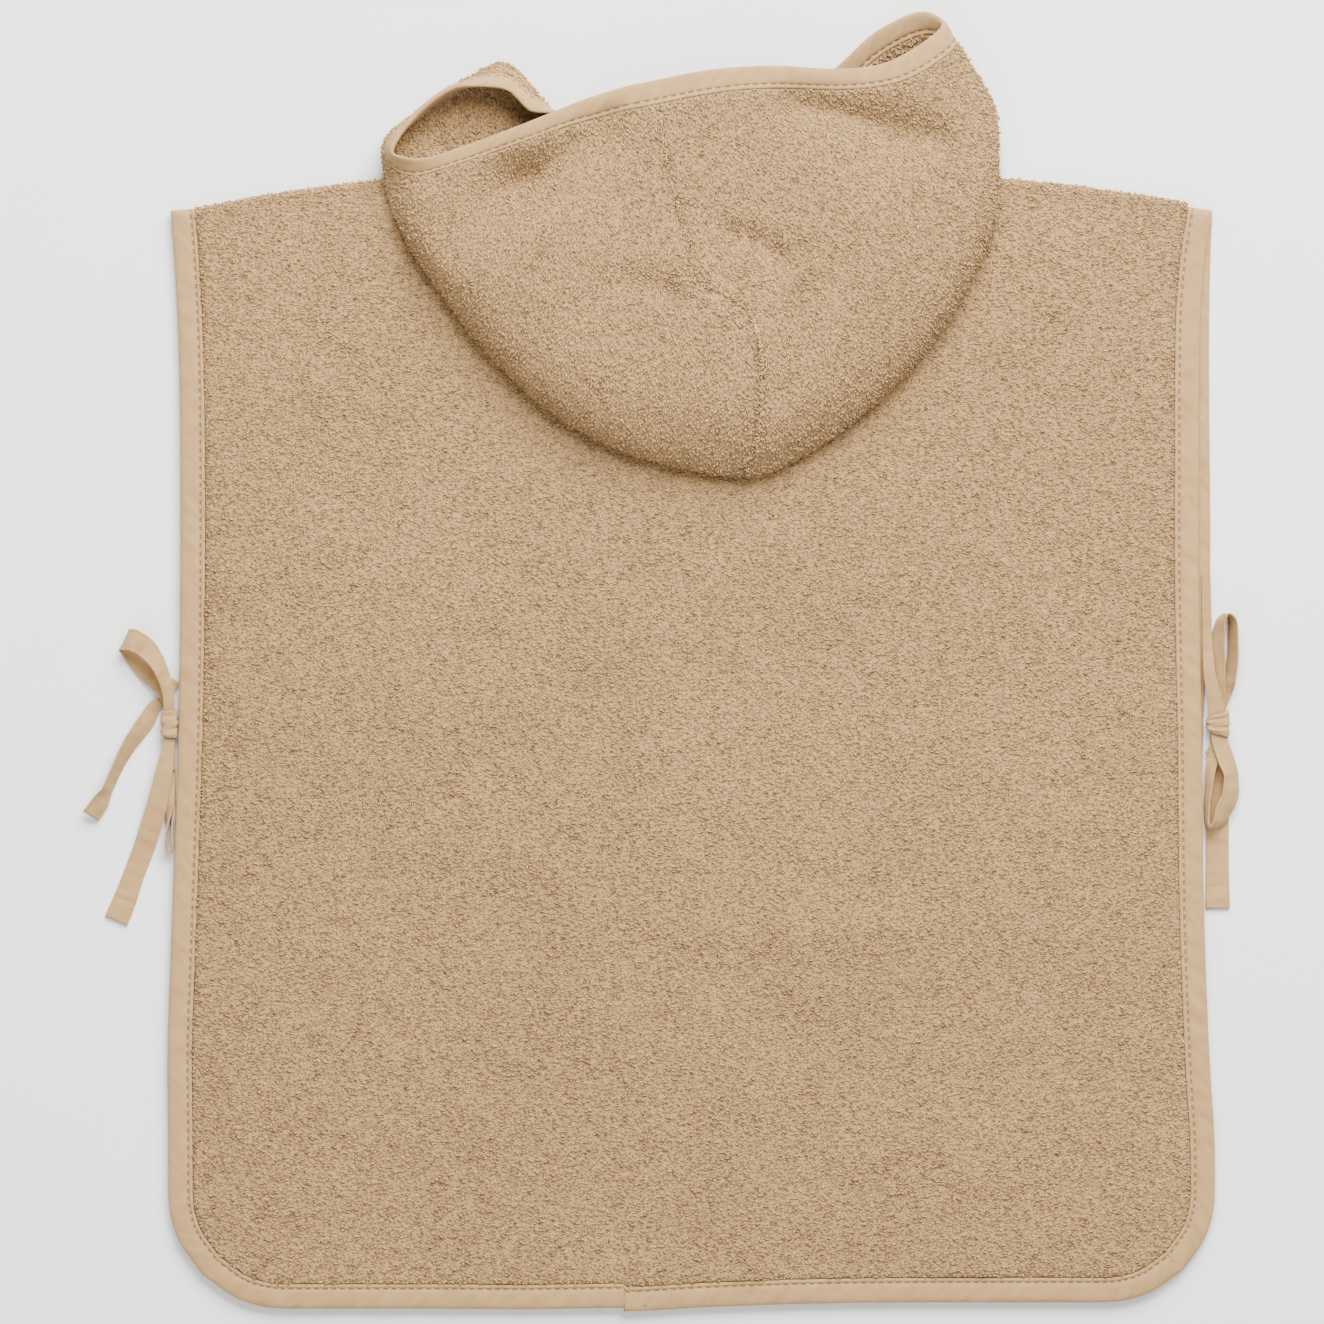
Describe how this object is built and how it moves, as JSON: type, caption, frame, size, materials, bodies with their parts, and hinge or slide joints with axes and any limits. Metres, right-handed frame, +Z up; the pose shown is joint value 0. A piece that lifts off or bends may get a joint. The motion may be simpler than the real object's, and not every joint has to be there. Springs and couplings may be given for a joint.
{
  "type": "hooded bath poncho",
  "caption": "Toddler's terry bath poncho laid flat on its front: two panels bound with tape, a hood thrown back over the back panel, and side ties in bows.",
  "frame": {"origin": "middle of the footprint, on the surface that the poncho lies on", "axes": "+Y from the hem to the hood, +Z up out of the back panel, +X to the viewer's right from above"},
  "size_m": [0.5774, 0.6488, 0.0375],
  "materials": {
    "terry": "matt looped terry",
    "tape": "smooth plain-weave bias tape",
    "tie": "smooth plain-weave tape, folded and stitched"
  },
  "bodies": {
    "root": {"front_panel": "terry", "back_panel": "terry", "hood_left": "terry", "hood_right": "terry", "front_tape": "tape", "back_tape": "tape", "hood_tape": "tape", "tie_left_back": "tie", "tie_left_front": "tie", "tie_right_back": "tie", "tie_right_front": "tie", "knot_left": "tie", "knot_right": "tie"}
  },
  "joints": []
}
